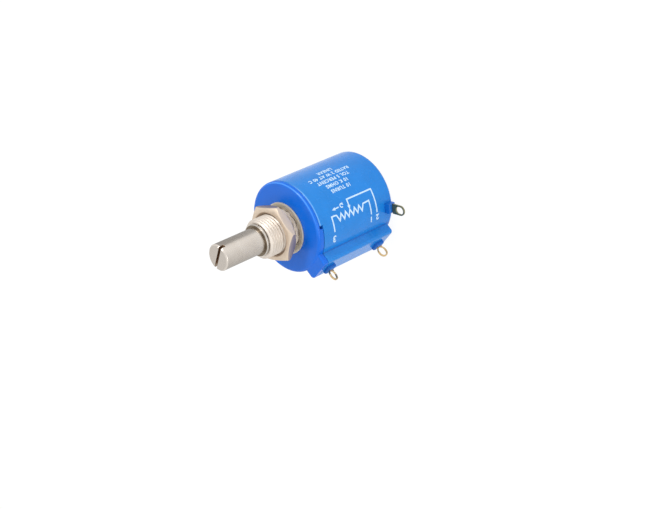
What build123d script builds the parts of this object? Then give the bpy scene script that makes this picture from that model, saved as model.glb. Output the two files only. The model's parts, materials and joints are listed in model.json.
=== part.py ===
"""Panel-mount ten-turn wirewound potentiometer, 22 mm class, with a metal bushing and a slotted shaft.

Frame: millimetres, origin on the shaft's axis in the plane of the lid's front face, where the panel seats.
+Z runs along the shaft towards its tip, and -Y points to the saddle foot that carries two of the lugs.
Directions around the axis are degrees from -Y, positive towards +X. Depths are counted back from the seat.
"""
from build123d import *
from math import cos, radians, sin
import os

# Driving dimensions: case
body_radius = 11.11
body_length = 24.8
case_wall = 1.25
rear_wall = 1.5
rear_edge_round = 0.8
lid_thickness = 1.8
lid_rim_thickness = 1.0
lid_edge_round = 0.7
lid_skirt_angle = 51.5
lid_notch_width = 0.8
lid_spigot_length = 0.7
lid_spigot_wall = 0.8
parting_groove_width = 0.2
parting_groove_depth = 0.5
cup_front_round = 0.2

# Driving dimensions: saddle foot and the bosses around the lugs
foot_width = 6.8
foot_height = 2.04
foot_edge_round = 0.8
foot_root_round = 0.15
foot_front_setback = 0.25
foot_front_round = 0.4
foot_rear_setback = 1.25
foot_rear_round = 0.5
lug_boss_width = 2.4
lug_boss_length = 2.3
lug_boss_height = 0.95
lug_boss_round = 0.45
wiper_boss_width = 2.4
wiper_boss_length = 2.0
wiper_boss_height = 1.7
wiper_boss_depth = 1.2
wiper_boss_round = 0.4

# Driving dimensions: solder lugs
lug_thickness = 0.4
lug_neck_width = 1.6
eyelet_width = 2.5
eyelet_stretch = 0.2
eyelet_wall = 0.34
eyelet_inner_wall = 0.12
eyelet_stand_off = 0.05
front_lug_depth = 3.58
front_lug_twist = 22
front_lug_lean = 22
rear_lug_from_rear = 4.97
wiper_lug_strip = 1.0
wiper_lug_angle = 41.8
wiper_lug_inner = 6.0
wiper_lug_floor_gap = 0.2

# Driving dimensions: bushing, nut and washer
thread_radius = 4.7625
bushing_length = 8.5
bushing_chamfer = 0.5
bushing_seat_radius = 5.3
bushing_shoulder_step = 1.74
bushing_shoulder_thickness = 1.2
nut_across_flats = 12.7
nut_thickness = 2.4
nut_stand_off = 2.45
nut_corner_angle = -7.5
nut_face_share = 0.96
nut_chamfer_slope_share = 0.55
nut_rear_slope_share = 0.9
nut_countersink = 0.6
washer_thickness = 0.55
washer_rim = 1.05
washer_tooth_length = 0.2
washer_tooth_width = 1.3
washer_tooth_gap = 0.28
washer_tooth_count = 12

# Driving dimensions: shaft and its retaining ring
shaft_radius = 3.175
shaft_length = 20.62
shaft_chamfer = 0.3
shaft_slot_width = 0.72
shaft_slot_depth = 1.3
shaft_slot_angle = 108.0
journal_radius = 2.0
journal_length = 1.2
retainer_radius = 3.9
retainer_thickness = 0.5
retainer_gap = 0.15
retainer_groove_depth = 0.42
retainer_opening = 3.4
retainer_opening_angle = 251.0

# Driving dimensions: rotor, wiper and element
rotor_radius = 6.9
channel_width = 3.0
channel_floor_radius = 4.6
rail_width = 1.2
rail_thickness = 0.25
slip_ring_thickness = 0.4
brush_room = 1.2
brush_thickness = 0.2
brush_width = 1.2
brush_seat_length = 1.2
brush_tip_length = 0.6
rear_bearing_wall = 1.1
rear_bearing_gap = 0.2
thrust_washer_radius = 5.2
thrust_washer_thickness = 0.4
element_turns = 10
element_tail_share = 0.02
element_wire_radius = 0.5
carriage_height = 2.2
carriage_end_room = 0.5
carriage_nose_share = 0.48
contact_thickness = 0.4
contact_width = 0.9
clip_thickness = 0.4
clip_width = 1.6
clip_overlap = 0.5

# Clearances
running_clearance = 0.03
moulded_gap = 0.02
assembly_gap = 0.05
element_clearance = 0.15
end_play = 0.05
cut_overrun = 0.5

# Depths of the stack along the axis, as heights
lid_back = -lid_thickness
collar_front = -lid_rim_thickness
rear_face = -body_length
floor = rear_face + rear_wall
bushing_back = lid_back - bushing_shoulder_thickness
thrust_front = bushing_back - end_play
rotor_front = thrust_front - thrust_washer_thickness
wiper_lug_bottom = floor + wiper_lug_floor_gap
wiper_lug_top = wiper_lug_bottom + lug_thickness
rotor_rear = wiper_lug_top + brush_room
slip_ring_rear = rotor_rear - slip_ring_thickness
journal_end = slip_ring_rear - journal_length
front_lug_height = -front_lug_depth
rear_lug_height = rear_face + rear_lug_from_rear
nut_front = nut_stand_off + nut_thickness
retainer_back = bushing_length + retainer_gap
retainer_front = retainer_back + retainer_thickness

# Radii worked out from the driving dimensions
bore_radius = body_radius - case_wall
element_radius = bore_radius - assembly_gap - element_wire_radius
rail_top_radius = channel_floor_radius + rail_thickness
clip_inner_radius = bore_radius
clip_outer_radius = clip_inner_radius + clip_thickness
foot_half_width = foot_width / 2
foot_reach = body_radius + foot_height
bushing_shoulder_radius = thread_radius + bushing_shoulder_step
washer_tooth_tip = thread_radius + washer_tooth_gap
washer_rim_inner = washer_tooth_tip + washer_tooth_length

# The coil's helix: the carriage stays inside the rotor at both ends of its travel
carriage_half_height = carriage_height / 2
element_front = rotor_front - carriage_half_height - carriage_end_room
element_rear = rotor_rear + carriage_half_height + carriage_end_room
element_pitch = (element_front - element_rear) / element_turns
element_middle = (element_front + element_rear) / 2


def turned(angle):
    """Turns what is modelled on the -Y side to a direction around the axis."""
    return Rot(0, 0, angle)


def disc(radius, low, high):
    """Round bar on the axis between two heights."""
    return Pos(0, 0, (low + high) / 2) * Cylinder(radius, high - low)


def tube(outer, inner, low, high):
    """Round tube on the axis between two heights."""
    return disc(outer, low, high) - disc(inner, low - cut_overrun, high + cut_overrun)


def block(width, near, far, low, high):
    """Block on the -Y side: centred on X, from one distance from the axis to another, between two heights."""
    middle = Pos(0, -(near + far) / 2, (low + high) / 2)
    return middle * Box(width, far - near, high - low)


def case_outline():
    """Round case with its saddle foot, seen along the axis, the foot's corners and roots rounded."""
    foot = Pos(0, -foot_reach / 2) * Rectangle(foot_width, foot_reach)
    outline = Circle(body_radius) + foot
    corners = outline.vertices().filter_by(lambda v: abs(abs(v.X) - foot_half_width) < moulded_gap)
    by_depth = corners.sort_by(Axis.Y)
    outline = fillet(by_depth[:2], foot_edge_round)
    roots = outline.vertices().filter_by(
        lambda v: abs(abs(v.X) - foot_half_width) < moulded_gap
        and abs(v.center().length - body_radius) < moulded_gap
    )
    return fillet(roots, foot_root_round)


def outer_edges(face):
    return face.outer_wire().edges()


def foot_sector(margin, low, high):
    """Wedge from the axis over the foot, as wide as the lid's skirt with a margin at each side."""
    angle = radians(lid_skirt_angle)
    reach = 2 * foot_reach / cos(angle)
    side, depth = reach * sin(angle), reach * cos(angle)
    wedge = make_face(Polyline((0, 0), (side, -depth), (-side, -depth), close=True))
    return Pos(0, margin / sin(angle), low) * extrude(wedge, high - low)


def front_lid():
    """Lid with a full round front, a deeper skirt over the foot, and a spigot that centres it in the cup."""
    outline = case_outline()
    rim_back = lid_back + parting_groove_width
    base = extrude(Pos(0, 0, rim_back) * outline, -lid_edge_round - rim_back)
    base += extrude(Pos(0, 0, lid_back) * offset(outline, -parting_groove_depth), parting_groove_width)
    middle = (rim_back - lid_edge_round) / 2
    face = fillet(disc(body_radius, middle, 0).edges().sort_by(Axis.Z)[-1], lid_edge_round)
    foot = block(foot_width, body_radius - foot_height, foot_reach, middle, -foot_front_setback)
    foot = fillet(foot.faces().sort_by(Axis.Y)[0].edges().filter_by(Axis.Z), foot_edge_round)
    foot = fillet(foot.faces().sort_by(Axis.Z)[-1].edges(), foot_front_round)
    lid = base + face + foot
    spigot_radius = bore_radius - assembly_gap
    lid += tube(spigot_radius, spigot_radius - lid_spigot_wall, lid_back - lid_spigot_length, lid_back)
    outside = body_radius + cut_overrun
    below = lid_back - lid_spigot_length - cut_overrun
    step = tube(outside, spigot_radius, below, collar_front)
    groove_top = collar_front + parting_groove_width
    step += tube(outside, body_radius - parting_groove_depth, collar_front, groove_top)
    lid -= step - foot_sector(0, below, 0)
    return lid - disc(bushing_seat_radius + moulded_gap, lid_back - cut_overrun, cut_overrun)


def cup_collar():
    """Front end of the cup's wall, which stands up to the lid's rim on both sides of its skirt."""
    low = lid_back - cup_front_round - cut_overrun
    collar = disc(body_radius, low, collar_front)
    collar = fillet(collar.edges().sort_by(Axis.Z)[-1], cup_front_round)
    collar -= disc(bore_radius, low - cut_overrun, collar_front + cut_overrun)
    return collar - foot_sector(lid_notch_width, lid_back, collar_front + cut_overrun)


def lug_boss(height):
    """Raised pad on the foot around one end lug, stopping at the lid."""
    half = lug_boss_length / 2
    top = foot_reach + lug_boss_height
    front = min(height + half, lid_back)
    boss = block(lug_boss_width, foot_reach - lug_boss_height, top, height - half, front)
    return fillet(boss.faces().sort_by(Axis.Y)[0].edges(), lug_boss_round)


def wiper_boss():
    """Pad on the round wall around the wiper lug."""
    middle = (wiper_lug_bottom + wiper_lug_top) / 2
    half = wiper_boss_length / 2
    near = body_radius - wiper_boss_depth
    boss = block(wiper_boss_width, near, body_radius + wiper_boss_height, middle - half, middle + half)
    boss = fillet(boss.faces().sort_by(Axis.Y)[0].edges(), wiper_boss_round)
    return turned(wiper_lug_angle) * boss


# Each clip joins an end lug to the coil's end beside it; the rear one stops clear of the turn before the last
front_clip_low = min(element_front, front_lug_height) - clip_overlap
front_clip_high = max(element_front, front_lug_height) + clip_overlap
rear_clip_low = element_rear - clip_overlap
rear_clip_high = max(rear_lug_height, element_rear + clip_overlap)


def clip_pocket(low, high):
    """Recess in the cup's wall, behind the coil, that holds one clip."""
    width = clip_width + 2 * assembly_gap
    far = clip_outer_radius + assembly_gap
    return block(width, bore_radius - cut_overrun, far, low - assembly_gap, high + assembly_gap)


def twisted(height, twist):
    """Turns an end lug at that height about the line along which it stands out."""
    return Pos(0, 0, height) * Rot(0, twist, 0) * Pos(0, 0, -height)


def end_lug_slot(height, twist=0):
    """Slot that the neck of an end lug was moulded into."""
    half = lug_neck_width / 2 + moulded_gap
    far = foot_reach + lug_boss_height + cut_overrun
    slot = block(lug_thickness + 2 * moulded_gap, clip_inner_radius, far, height - half, height + half)
    return twisted(height, twist) * slot


def wiper_lug_slot():
    width = lug_neck_width + 2 * moulded_gap
    far = body_radius + wiper_boss_height + cut_overrun
    bottom = wiper_lug_bottom - moulded_gap
    top = wiper_lug_top + moulded_gap
    slot = block(width, bore_radius - cut_overrun, far, bottom, top)
    return turned(wiper_lug_angle) * slot


def housing():
    """Moulded cup: round wall, closed rear with the shaft's rear bearing, saddle foot and bosses."""
    shell = disc(body_radius, rear_face, lid_back)
    shell = fillet(shell.edges().sort_by(Axis.Z)[0], rear_edge_round)
    foot_end = rear_face + foot_rear_setback
    saddle = extrude(Pos(0, 0, foot_end) * case_outline(), lid_back - foot_end)
    saddle = fillet(outer_edges(saddle.faces().sort_by(Axis.Z)[0]), foot_rear_round)
    cup = shell + saddle
    cup = fillet(outer_edges(cup.faces().sort_by(Axis.Z)[-1]), cup_front_round)
    cup += lug_boss(front_lug_height) + lug_boss(rear_lug_height) + wiper_boss()
    cup -= disc(bore_radius, floor, lid_back + cut_overrun)
    cup += cup_collar()
    bearing_radius = journal_radius + running_clearance
    cup += tube(bearing_radius + rear_bearing_wall, bearing_radius, floor, slip_ring_rear - rear_bearing_gap)
    cup -= clip_pocket(front_clip_low, front_clip_high) + clip_pocket(rear_clip_low, rear_clip_high)
    cup -= end_lug_slot(front_lug_height, front_lug_twist) + end_lug_slot(rear_lug_height) + wiper_lug_slot()
    return cup


def strip(start, end, width):
    """Flat strip along +X."""
    return Pos((start + end) / 2, 0) * Rectangle(end - start, width)


def lug_outline(inner, start, solid, lean=0):
    """Flat lug along +X: a neck in the case, then a solid length and an eyelet with a long hole outside."""
    eyelet_length = eyelet_width + eyelet_stretch
    eyelet_middle = solid + eyelet_length / 2
    leaning = Pos(start, 0) * Rot(0, 0, lean)
    eyelet = leaning * Pos(eyelet_middle, 0) * SlotCenterToCenter(eyelet_stretch, eyelet_width)
    hole_length = eyelet_length - eyelet_wall - eyelet_inner_wall
    hole_middle = solid + eyelet_inner_wall + hole_length / 2
    hole = leaning * Pos(hole_middle, 0) * SlotOverall(hole_length, eyelet_width - 2 * eyelet_wall)
    lug = eyelet + strip(inner, start + solid + eyelet_wall, lug_neck_width)
    if solid > 0:
        lug += strip(start, start + eyelet_middle, eyelet_width)
    return lug - hole


def end_lug(height, twist=0, lean=0):
    """Lug of one end of the element: it stands in the plane that holds the axis, or is bent out of it."""
    upright = Plane(origin=(0, 0, height), x_dir=(0, -1, 0), z_dir=(-1, 0, 0))
    start = foot_reach + lug_boss_height + eyelet_stand_off
    outline = lug_outline(clip_outer_radius, start, 0, lean)
    return twisted(height, twist) * extrude(upright * outline, lug_thickness / 2, both=True)


def wiper_lug():
    """Lug of the wiper: it lies across the axis, just above the cup's floor."""
    flat = Plane(origin=(0, 0, wiper_lug_bottom), x_dir=(0, -1, 0), z_dir=(0, 0, 1))
    start = body_radius + wiper_boss_height + eyelet_stand_off
    outline = lug_outline(wiper_lug_inner, start, wiper_lug_strip)
    return turned(wiper_lug_angle) * extrude(flat * outline, lug_thickness)


def bushing():
    """Threaded sleeve, plain here, with a seat that fills the lid's hole and a shoulder behind the lid."""
    sleeve = disc(thread_radius, 0, bushing_length)
    sleeve = chamfer(sleeve.edges().sort_by(Axis.Z)[-1], bushing_chamfer)
    sleeve += disc(bushing_seat_radius, lid_back, 0)
    sleeve += disc(bushing_shoulder_radius, bushing_back, lid_back)
    hole_radius = shaft_radius + running_clearance
    return sleeve - disc(hole_radius, bushing_back - cut_overrun, bushing_length + cut_overrun)


def lock_washer():
    """Ring lying on the lid, with flat teeth inwards to the thread."""
    washer = tube(washer_rim_inner + washer_rim, washer_rim_inner, 0, washer_thickness)
    tooth_root = washer_rim_inner + washer_rim / 2
    tooth = block(washer_tooth_width, washer_tooth_tip, tooth_root, 0, washer_thickness)
    for index in range(washer_tooth_count):
        washer += turned(360 * index / washer_tooth_count) * tooth
    return washer


def mounting_nut():
    """Hexagon nut, its corners chamfered round, more at the rear, and its hole countersunk at both ends."""
    apothem = nut_across_flats / 2
    corner_radius = apothem / cos(radians(30))
    face_radius = apothem * nut_face_share
    front_drop = (corner_radius - face_radius) * nut_chamfer_slope_share
    rear_drop = (corner_radius - face_radius) * nut_rear_slope_share
    hexagon = Pos(0, 0, nut_stand_off) * RegularPolygon(apothem, 6, major_radius=False, rotation=30)
    prism = turned(nut_corner_angle) * extrude(hexagon, nut_thickness)
    round_section = Polyline(
        (0, nut_stand_off),
        (face_radius, nut_stand_off),
        (corner_radius, nut_stand_off + rear_drop),
        (corner_radius, nut_front - front_drop),
        (face_radius, nut_front),
        (0, nut_front),
        close=True,
    )
    nut = prism & revolve(Plane.XZ * make_face(round_section), Axis.Z)
    hole_radius = thread_radius + moulded_gap
    nut -= disc(hole_radius, nut_stand_off - cut_overrun, nut_front + cut_overrun)
    circles = nut.edges().filter_by(GeomType.CIRCLE)
    rims = circles.filter_by(lambda e: abs(e.radius - hole_radius) < moulded_gap / 2)
    return chamfer(rims, nut_countersink)


def shaft():
    """Round shaft: slotted tip, groove for the retaining ring, and a journal at the rear."""
    bar = disc(shaft_radius, slip_ring_rear, shaft_length)
    bar = chamfer(bar.edges().sort_by(Axis.Z)[-1], shaft_chamfer)
    bar += disc(journal_radius, journal_end, slip_ring_rear)
    groove_radius = shaft_radius - retainer_groove_depth
    bar -= tube(retainer_radius, groove_radius, retainer_back - moulded_gap, retainer_front + moulded_gap)
    slot = Pos(0, 0, shaft_length) * Box(shaft_slot_width, 2 * retainer_radius, 2 * shaft_slot_depth)
    return bar - turned(shaft_slot_angle) * slot


def retaining_ring():
    """Split ring in the shaft's groove, just clear of the bushing's front."""
    inner = shaft_radius - retainer_groove_depth + moulded_gap
    ring = tube(retainer_radius, inner, retainer_back, retainer_front)
    far = retainer_radius + cut_overrun
    gap = block(retainer_opening, 0, far, retainer_back - cut_overrun, retainer_front + cut_overrun)
    return ring - turned(retainer_opening_angle) * gap


def thrust_washer():
    return tube(thrust_washer_radius, shaft_radius + assembly_gap, rotor_front, thrust_front)


def rotor():
    """Drum on the shaft with a channel along its whole length for the carriage."""
    drum = tube(rotor_radius, shaft_radius + moulded_gap, rotor_rear, rotor_front)
    far = rotor_radius + cut_overrun
    low = rotor_rear - cut_overrun
    high = rotor_front + cut_overrun
    return drum - block(channel_width, channel_floor_radius, far, low, high)


def collector_rail():
    """Strip along the channel's floor, its rear end on the slip ring."""
    return block(rail_width, channel_floor_radius, rail_top_radius, rotor_rear, rotor_front)


def slip_ring():
    return tube(rail_top_radius, shaft_radius + assembly_gap, slip_ring_rear, rotor_rear)


def resistance_coil():
    """Wire-wound mandrel in a left-handed helix: a clockwise turn of the shaft leads the wiper forwards."""
    tail = element_pitch * element_tail_share
    low = element_rear - tail
    path = Helix(element_pitch, element_front + tail - low, element_radius, center=(0, 0, low), lefthand=True)
    section = Plane(origin=path @ 0, z_dir=path % 0) * Circle(element_wire_radius)
    coil = sweep(section, path=path, is_frenet=True)
    quarter_back = -90
    return turned(quarter_back + 360 * element_tail_share) * coil


def end_clip(low, high):
    """Plate in the cup's wall between an end lug and the outside of the coil's end."""
    return block(clip_width, clip_inner_radius, clip_outer_radius, low, high)


def wiper_carriage():
    """Block in the rotor's channel, its nose cut to straddle a turn of the coil, slotted for the contact."""
    path_radius = element_wire_radius + element_clearance
    body_far = element_radius - path_radius
    nose_far = element_radius - element_wire_radius * carriage_nose_share
    width = channel_width - 2 * assembly_gap
    near = rail_top_radius + assembly_gap
    low, high = element_middle - carriage_half_height, element_middle + carriage_half_height
    nose_half = element_pitch / 2 + element_clearance
    carriage = block(width, near, body_far, low, high)
    carriage += block(width, near, nose_far, element_middle - nose_half, element_middle + nose_half)
    for turn in (-1, 0, 1):
        carriage -= Pos(0, 0, element_middle + turn * element_pitch) * Torus(element_radius, path_radius)
    slot_half = contact_thickness / 2 + assembly_gap
    slot_width = contact_width + 2 * assembly_gap
    low = element_middle - slot_half
    high = element_middle + slot_half
    return carriage - block(slot_width, 0, element_radius, low, high)


def wiper_contact():
    """Blade through the carriage, from the rail to the inside of the coil, its outer edges rounded."""
    near = rail_top_radius + assembly_gap
    far = element_radius - element_wire_radius - assembly_gap
    half = contact_thickness / 2
    blade = block(contact_width, near, far, element_middle - half, element_middle + half)
    edges = blade.faces().sort_by(Axis.Y)[0].edges().filter_by(Axis.X)
    return fillet(edges, contact_thickness / 3)


def collector_brush():
    """Leaf that lies on the wiper lug and rises to the slip ring's rear face."""
    seat_outer = wiper_lug_inner + brush_seat_length
    tip_inner = journal_radius + running_clearance + rear_bearing_wall + rear_bearing_gap + assembly_gap
    tip_outer = tip_inner + brush_tip_length
    seat_low = wiper_lug_top
    seat_high = seat_low + brush_thickness
    tip_high = slip_ring_rear - assembly_gap
    tip_low = tip_high - brush_thickness
    leaf = Polyline(
        (seat_outer, seat_low),
        (wiper_lug_inner, seat_low),
        (tip_outer, tip_low),
        (tip_inner, tip_low),
        (tip_inner, tip_high),
        (tip_outer, tip_high),
        (wiper_lug_inner, seat_high),
        (seat_outer, seat_high),
        close=True,
    )
    upright = Plane(origin=(0, 0, 0), x_dir=(0, -1, 0), z_dir=(-1, 0, 0))
    return turned(wiper_lug_angle) * extrude(upright * make_face(leaf), brush_width / 2, both=True)


pieces = {
    "housing": housing(),
    "front_lid": front_lid(),
    "bushing": bushing(),
    "lock_washer": lock_washer(),
    "mounting_nut": mounting_nut(),
    "terminal_1": end_lug(rear_lug_height),
    "terminal_2": wiper_lug(),
    "terminal_3": end_lug(front_lug_height, front_lug_twist, front_lug_lean),
    "coil_clip_front": end_clip(front_clip_low, front_clip_high),
    "coil_clip_rear": end_clip(rear_clip_low, rear_clip_high),
    "resistance_coil": resistance_coil(),
    "collector_brush": collector_brush(),
    "shaft": shaft(),
    "retaining_ring": retaining_ring(),
    "thrust_washer": thrust_washer(),
    "rotor": rotor(),
    "collector_rail": collector_rail(),
    "slip_ring": slip_ring(),
    "wiper_carriage": wiper_carriage(),
    "wiper_contact": wiper_contact(),
}

os.makedirs("parts", exist_ok=True)
for name, piece in pieces.items():
    export_step(piece, f"parts/{name}.step")

print(f"coil pitch {element_pitch:.4f}, travel {element_front - element_rear:.3f}")
print(f"middle of the coil {element_middle:.3f}")
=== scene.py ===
# %% [markdown]
# # Dressing a ten-turn potentiometer
# This lesson takes a plain CAD model of a panel-mount potentiometer and gives it the look of the real
# thing: blue moulded plastic, a plated and threaded bushing, a turned steel shaft, stamped lugs and pale
# ink on the case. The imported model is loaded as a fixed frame. Every piece that is made here is built in
# the same frame, in metres, so nothing has to be fitted by eye.

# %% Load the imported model
import json
from collections import namedtuple
from math import ceil, cos, pi, radians, sin

import bmesh
import bpy
from mathutils import Matrix, Vector


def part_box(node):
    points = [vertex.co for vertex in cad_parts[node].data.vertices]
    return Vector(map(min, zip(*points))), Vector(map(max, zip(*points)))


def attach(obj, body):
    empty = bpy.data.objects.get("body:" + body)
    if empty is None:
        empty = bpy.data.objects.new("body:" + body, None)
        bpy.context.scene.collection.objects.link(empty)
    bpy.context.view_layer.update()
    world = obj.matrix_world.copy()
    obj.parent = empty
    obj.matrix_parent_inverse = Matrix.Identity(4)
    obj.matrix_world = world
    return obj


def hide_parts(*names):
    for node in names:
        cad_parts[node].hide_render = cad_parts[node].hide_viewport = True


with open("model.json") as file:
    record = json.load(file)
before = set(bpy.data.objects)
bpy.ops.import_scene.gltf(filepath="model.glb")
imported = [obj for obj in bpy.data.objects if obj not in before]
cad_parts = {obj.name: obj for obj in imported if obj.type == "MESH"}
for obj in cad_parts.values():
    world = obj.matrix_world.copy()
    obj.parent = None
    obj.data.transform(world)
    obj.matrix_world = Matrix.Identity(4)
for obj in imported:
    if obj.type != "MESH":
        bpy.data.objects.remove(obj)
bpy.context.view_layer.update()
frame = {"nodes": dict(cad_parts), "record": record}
MM = 0.001

# %% [markdown]
# Some of the sizes that the new pieces need are read from the frame, not typed again. A node's box gives
# its ends, and the record's mounts give the radius of the thread. The shaft points up along Z, the panel
# seats at height zero, and the flat foot with the lugs is on the -Y side.

# %% Read the sizes
mounts = {mount["name"]: mount for mount in frame["record"]["mounts"]}
thread_radius = mounts["bushing_thread"]["dims"]["r_mm"] * MM
case_low, case_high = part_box("housing")
case_radius = -case_low.x
case_rear, cup_front = case_low.z, case_high.z
nut_rear, nut_front = (corner.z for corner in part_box("mounting_nut"))
shaft_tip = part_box("shaft")[1].z
print(f"case radius {case_radius / MM:.2f} mm, thread radius {thread_radius / MM:.3f} mm")
print(f"shaft tip at {shaft_tip / MM:.2f} mm")

# %% [markdown]
# A finish is a small tree of shader nodes, and a shape can be made by a tree too. A few helpers keep the
# trees short: one writes a colour as it is measured on a screen, one adds a node with its settings and
# inputs, and the others do sums on what the nodes put out. A mask is such a sum that is one on some part
# of a piece and zero on the rest.


# %% Helpers for trees of nodes
def screen_colour(red, green, blue):
    """A colour given as screen values from 0 to 255, as the linear numbers that shaders use."""
    steps = [value / 255 for value in (red, green, blue)]
    return [s / 12.92 if s <= 0.04045 else ((s + 0.055) / 1.055) ** 2.4 for s in steps] + [1.0]


def shade(colour, factor):
    """The same colour, darker or lighter."""
    return [min(1.0, channel * factor) for channel in colour[:3]] + [1.0]


def feed(tree, socket, value):
    """Joins an input to another node's output, or sets it to a plain value."""
    if isinstance(value, bpy.types.NodeSocket):
        tree.links.new(value, socket)
    else:
        socket.default_value = value


def add_node(tree, kind, settings=None, **inputs):
    """Adds a node. Settings are its own options, and inputs are named with _ for a space."""
    node = tree.nodes.new(kind)
    for name, value in (settings or {}).items():
        setattr(node, name, value)
    for name, value in inputs.items():
        feed(tree, node.inputs[name.replace("_", " ")], value)
    return node


def sums(tree, operation, *values, clamp=False):
    """A Math node on other nodes' outputs or plain numbers."""
    node = add_node(tree, "ShaderNodeMath", {"operation": operation, "use_clamp": clamp})
    for socket, value in zip(node.inputs, values):
        feed(tree, socket, value)
    return node.outputs["Value"]


def product(tree, first, *others):
    """All the values multiplied. For masks it means: where every one of them holds."""
    for other in others:
        first = sums(tree, "MULTIPLY", first, other)
    return first


def span(tree, x, y):
    """The length of the line to a place that is X and Y away."""
    return sums(tree, "SQRT", sums(tree, "ADD", product(tree, x, x), product(tree, y, y)))


def apart(tree, place):
    """The X, Y and Z of a place, and how far it lies from the Z axis."""
    split = add_node(tree, "ShaderNodeSeparateXYZ", Vector=place)
    x, y, z = split.outputs["X"], split.outputs["Y"], split.outputs["Z"]
    return x, y, z, span(tree, x, y)


def towards(tree, x, y, angle):
    """How far a place lies from the Z axis in one direction."""
    return sums(tree, "ADD", product(tree, x, cos(angle)), product(tree, y, sin(angle)))


def fading(tree, value, full, none):
    """A mask that is one where the value is at or past full, and fades to zero at none."""
    return add_node(tree, "ShaderNodeMapRange", Value=value, From_Min=none, From_Max=full).outputs["Result"]


# %% [markdown]
# Each finish reads the piece's own Object coordinates, so its grain has a real size in metres and stays
# with the piece when it moves. No real surface is even, so most finishes use noise: in the colour, in
# the roughness, and in a bump that is too shallow to see as a shape.

# %% Helpers for finishes
Finish = namedtuple("Finish", "material tree shader place")
finishes = {}
noise_roughness = 0.55
noise_low, noise_high = 0.3, 0.7


def new_finish(name, metal=0.0):
    """A finish that is kept under its name: its material, tree, shader and Object coordinates."""
    material = bpy.data.materials.new(name)
    material.use_nodes = True
    tree = material.node_tree
    shader = tree.nodes["Principled BSDF"]
    shader.inputs["Metallic"].default_value = metal
    place = add_node(tree, "ShaderNodeTexCoord").outputs["Object"]
    finishes[name] = Finish(material, tree, shader, place)
    return finishes[name]


def grain(tree, place, size, detail=3.0):
    """Noise whose lumps are about that many metres across."""
    lumps = {"Scale": 1 / size, "Detail": detail, "Roughness": noise_roughness}
    return add_node(tree, "ShaderNodeTexNoise", Vector=place, **lumps).outputs["Fac"]


def between(tree, noise, low, high):
    """A number that goes from low to high over the middle of the noise's range."""
    ends = {"From Min": noise_low, "From Max": noise_high, "To Min": low, "To Max": high}
    return add_node(tree, "ShaderNodeMapRange", Value=noise, **ends).outputs["Result"]


def uneven(finish, size, low=0.0, high=1.0):
    """A number that wanders between low and high over the piece, in lumps of that size."""
    return between(finish.tree, grain(finish.tree, finish.place, size), low, high)


def two_tone(tree, factor, first, second):
    """A colour that goes from the first to the second with a factor."""
    mix = add_node(tree, "ShaderNodeMix", {"data_type": "RGBA"}, Factor=factor, A=first, B=second)
    return mix.outputs["Result"]


def dress(finish, colour, roughness):
    """Gives a finish its colour and its roughness."""
    feed(finish.tree, finish.shader.inputs["Base Color"], colour)
    feed(finish.tree, finish.shader.inputs["Roughness"], roughness)


def ripple(finish, height, strength, depth):
    """A bump of that depth in metres on the finish."""
    bump = add_node(finish.tree, "ShaderNodeBump", Height=height, Strength=strength, Distance=depth)
    feed(finish.tree, finish.shader.inputs["Normal"], bump.outputs["Normal"])


def repaint(finish, mask, colour):
    """Lays another screen colour over a finish where the mask is one."""
    socket = finish.shader.inputs["Base Color"]
    below = socket.links[0].from_socket
    feed(finish.tree, socket, two_tone(finish.tree, mask, below, screen_colour(*colour)))


# %% [markdown]
# The cup and the lid are glossy mouldings in two shades of blue. Mouldings are never quite even: the
# colour swims by a few percent, the gloss changes where the material flowed, and the skin has a faint
# orange peel. Three noises of different sizes give those three things.

# %% Moulded blue plastic
colour_patches, gloss_patches = 5 * MM, 1.4 * MM
peel_size, peel_depth = 0.6 * MM, 0.03 * MM
plastic_ior, plastic_specular = 1.45, 0.36


def moulded_plastic(name, colour, gloss, peel):
    """Plastic of a screen colour, with a roughness and the strength of its orange peel."""
    finish = new_finish(name)
    colour = screen_colour(*colour)
    swim = two_tone(finish.tree, uneven(finish, colour_patches), shade(colour, 0.95), shade(colour, 1.05))
    dress(finish, swim, uneven(finish, gloss_patches, gloss - 0.03, gloss + 0.05))
    ripple(finish, grain(finish.tree, finish.place, peel_size, detail=1), peel, peel_depth)
    finish.shader.inputs["IOR"].default_value = plastic_ior
    finish.shader.inputs["Specular IOR Level"].default_value = plastic_specular
    return finish


housing_blue = moulded_plastic("housing_blue", (28, 129, 214), gloss=0.24, peel=0.05)
lid_blue = moulded_plastic("lid_blue", (6, 106, 219), gloss=0.22, peel=0.05)
print("finishes:", ", ".join(finishes))

# %% [markdown]
# On one side, a thin pale line follows the front edge of the cup and the round of the lid. It is a painted
# highlight, for the light that these rounded edges catch, and it is painted by place. A mask finds the edge
# from the height and from the distance to the axis, and two more let the line fade out across and along
# the case.

# %% Painted highlights on the cup and the lid
cup_edge_height = 0.26 * MM
lid_round_height = 0.34 * MM
any_reach = (0.0, 1.0)
lid_round_reach = (10.72 * MM, 10.95 * MM)
cup_highlight_fades = (8 * MM, 4 * MM), (2 * MM, 7 * MM)
lid_highlight_fades = (6 * MM, 1 * MM), (-1 * MM, -8 * MM)


def painted_edge_highlight(finish, low, reaches, fade_across, fade_along, colour):
    """Paints a highlight line above a height, between two distances from the axis. A fade says full, none.
    """
    tree = finish.tree
    across, along, height, reach = apart(tree, finish.place)
    high = sums(tree, "GREATER_THAN", height, low)
    outside = sums(tree, "GREATER_THAN", reach, reaches[0])
    inside = sums(tree, "LESS_THAN", reach, reaches[1])
    on_side = product(tree, fading(tree, across, *fade_across), fading(tree, along, *fade_along))
    repaint(finish, product(tree, high, outside, inside, on_side), colour)


# Painted highlights: a pale line on the cup's front edge and on the lid's round.
painted_edge_highlight(housing_blue, cup_front - cup_edge_height, any_reach, *cup_highlight_fades, (108, 176, 242))
painted_edge_highlight(lid_blue, -lid_round_height, lid_round_reach, *lid_highlight_fades, (72, 148, 242))
print(f"pale edge on the cup from {(cup_front - cup_edge_height) / MM:.2f} mm up")
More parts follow.
